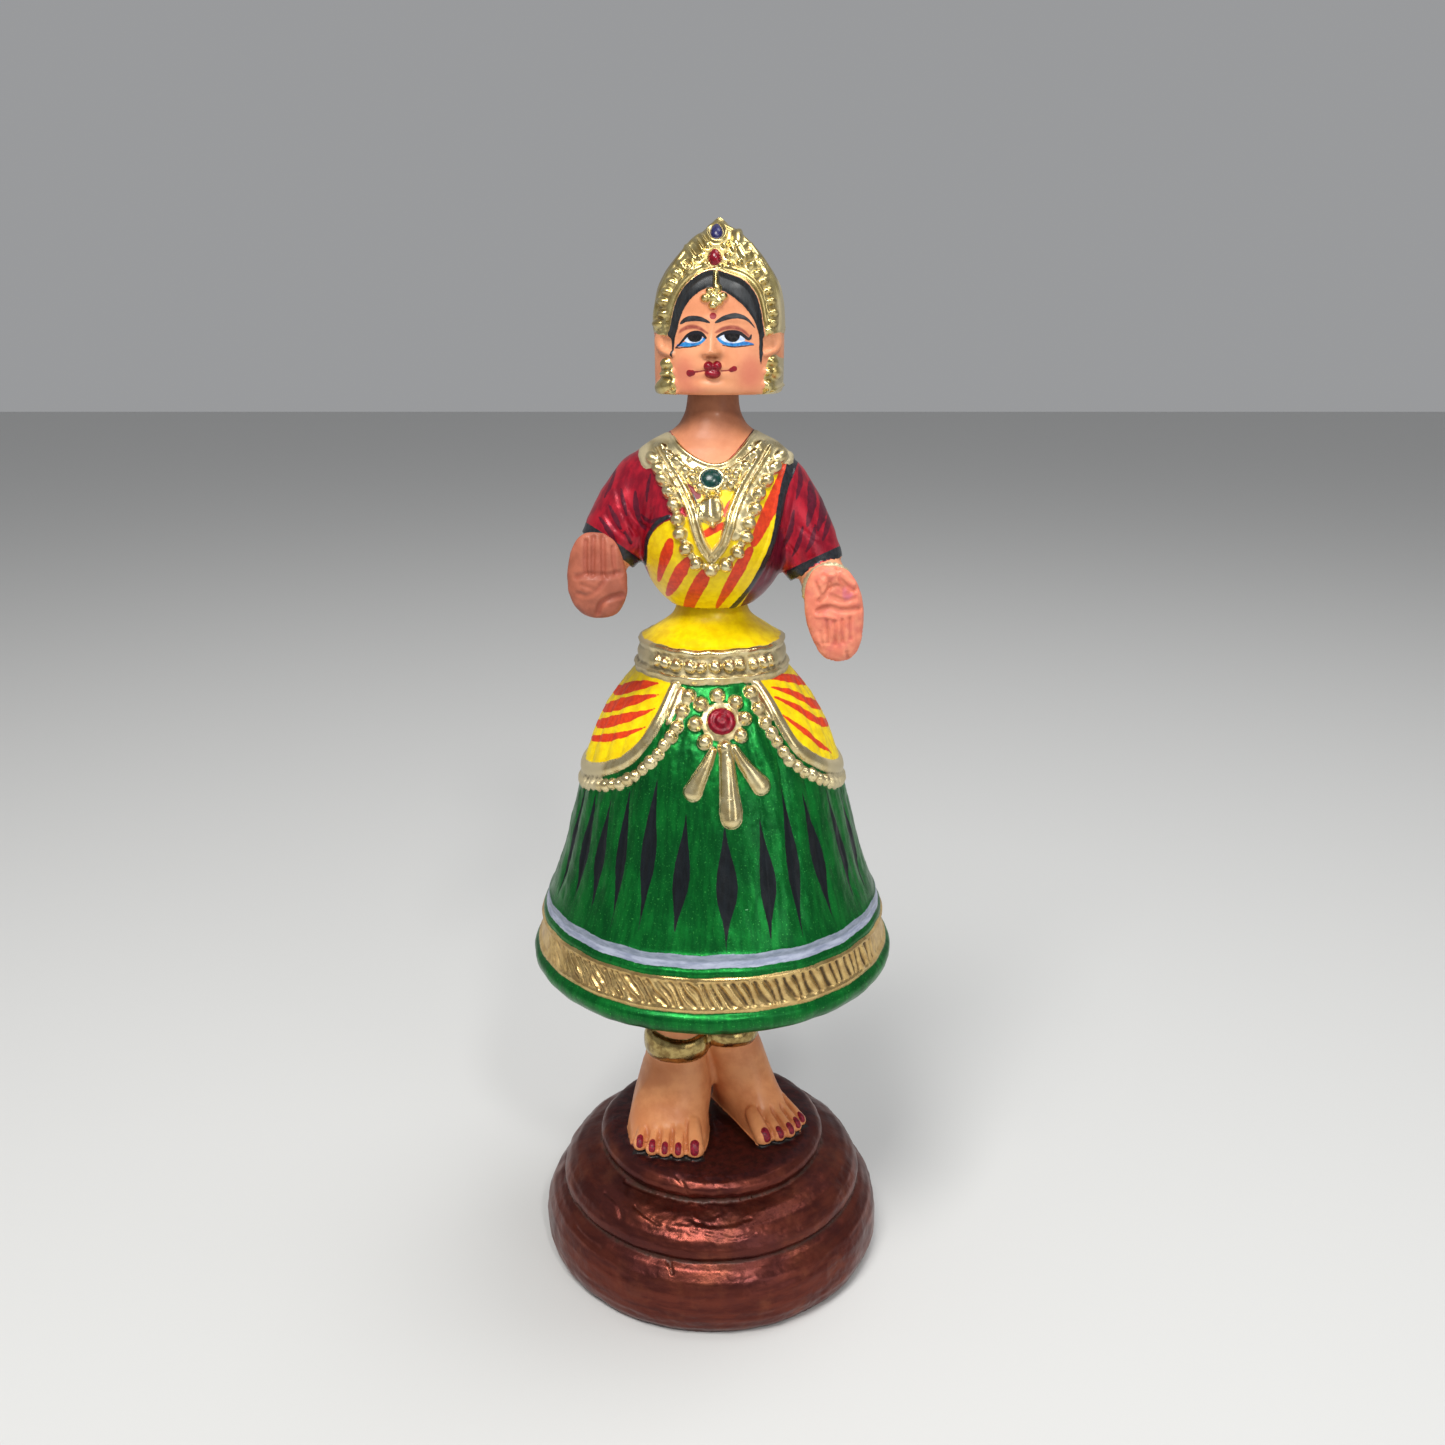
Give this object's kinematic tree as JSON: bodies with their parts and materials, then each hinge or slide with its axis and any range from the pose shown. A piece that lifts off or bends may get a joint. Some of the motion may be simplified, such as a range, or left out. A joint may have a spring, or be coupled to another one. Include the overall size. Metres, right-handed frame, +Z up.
{
  "type": "papier-mache dancing doll figure",
  "caption": "Painted papier-mache dancing doll: a woman in a wide bell skirt with crown, necklaces and raised hands, standing on a rounded tiered base.",
  "frame": {"origin": "centre of the base's flat underside, on the surface that the doll stands on", "axes": "+Z up through the doll, -Y the way the doll faces, +X to the doll's left hand"},
  "size_m": [0.0906, 0.0906, 0.26],
  "materials": {
    "base_paint": "metallic maroon paint over papier-mache, semi-gloss; skin-coloured feet with gold anklets",
    "skirt_paint": "metallic green paint over papier-mache, semi-gloss, with gold relief and yellow panels",
    "torso_paint": "crimson and yellow paint over papier-mache, semi-gloss, with gold relief and skin-coloured arms and neck",
    "head_paint": "skin-coloured paint over papier-mache, satin, with a gold crown and earrings"
  },
  "bodies": {
    "root": {"base_with_feet": "base_paint", "skirt": "skirt_paint", "torso": "torso_paint", "head": "head_paint"}
  },
  "joints": []
}
